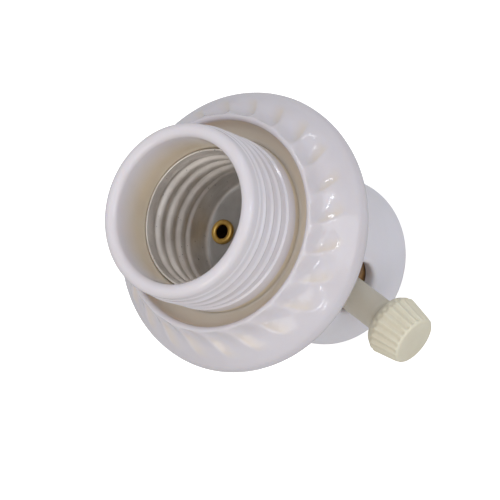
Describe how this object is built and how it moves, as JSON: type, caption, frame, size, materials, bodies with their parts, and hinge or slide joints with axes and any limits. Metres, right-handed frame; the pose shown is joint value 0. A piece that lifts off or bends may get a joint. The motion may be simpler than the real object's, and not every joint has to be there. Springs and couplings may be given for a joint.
{
  "type": "heat lamp lampholder with turn-knob switch",
  "caption": "White plastic medium-base lampholder with an externally threaded barrel, a fluted screw-on shade ring and a side turn-knob switch; stands on its rear face.",
  "frame": {"origin": "where the lamp axis meets the flat rear face, at the centre of the hub hole", "axes": "+Z along the lamp axis out of the bulb opening, -Y along the knob's spindle towards the knob"},
  "size_m": [0.0544, 0.061, 0.06],
  "materials": {
    "white_plastic": "gloss",
    "knob_plastic": "satin",
    "brown_phenolic": "matte",
    "black_phenolic": "matte",
    "aluminium_shell": "satin",
    "brass_contacts": "satin",
    "plated_steel": "satin"
  },
  "bodies": {
    "lampholder_body": {"socket_barrel": "white_plastic", "rear_housing": "white_plastic", "screw_shell": "aluminium_shell", "shell_eyelet_1": "brass_contacts", "shell_eyelet_2": "brass_contacts", "centre_contact_rivet": "brass_contacts", "load_contact": "brass_contacts", "line_contact": "brass_contacts", "line_terminal_screw": "plated_steel", "neutral_terminal": "brass_contacts", "neutral_terminal_screw": "plated_steel", "switch_base": "brown_phenolic", "detent_spring": "plated_steel", "hub_bushing": "plated_steel", "hub_set_screw": "plated_steel", "housing_screw_1": "plated_steel", "housing_screw_2": "plated_steel"},
    "shade_ring": {"shade_ring": "white_plastic"},
    "turn_knob": {"knob": "knob_plastic", "switch_spindle": "plated_steel", "switch_rotor": "black_phenolic", "rotor_bridge": "brass_contacts"},
    "centre_contact": {"centre_contact": "brass_contacts"}
  },
  "joints": [
    {"name": "knob_turn", "type": "hinge", "parent": "lampholder_body", "child": "turn_knob", "pos_m": [0, 0, 0.0168], "axis": [0, -1, 0], "continuous": true, "deforming": ["detent_spring"]},
    {"name": "shade_ring_travel", "type": "slide", "parent": "lampholder_body", "child": "shade_ring", "axis": [0, 0, 1], "range_m": [0, 0.0258]},
    {"name": "centre_contact_press", "type": "slide", "parent": "lampholder_body", "child": "centre_contact", "axis": [0, 0, -1], "range_m": [0, 0.0012], "stiffness_N_per_m": 2000, "deforming": ["centre_contact"]}
  ]
}
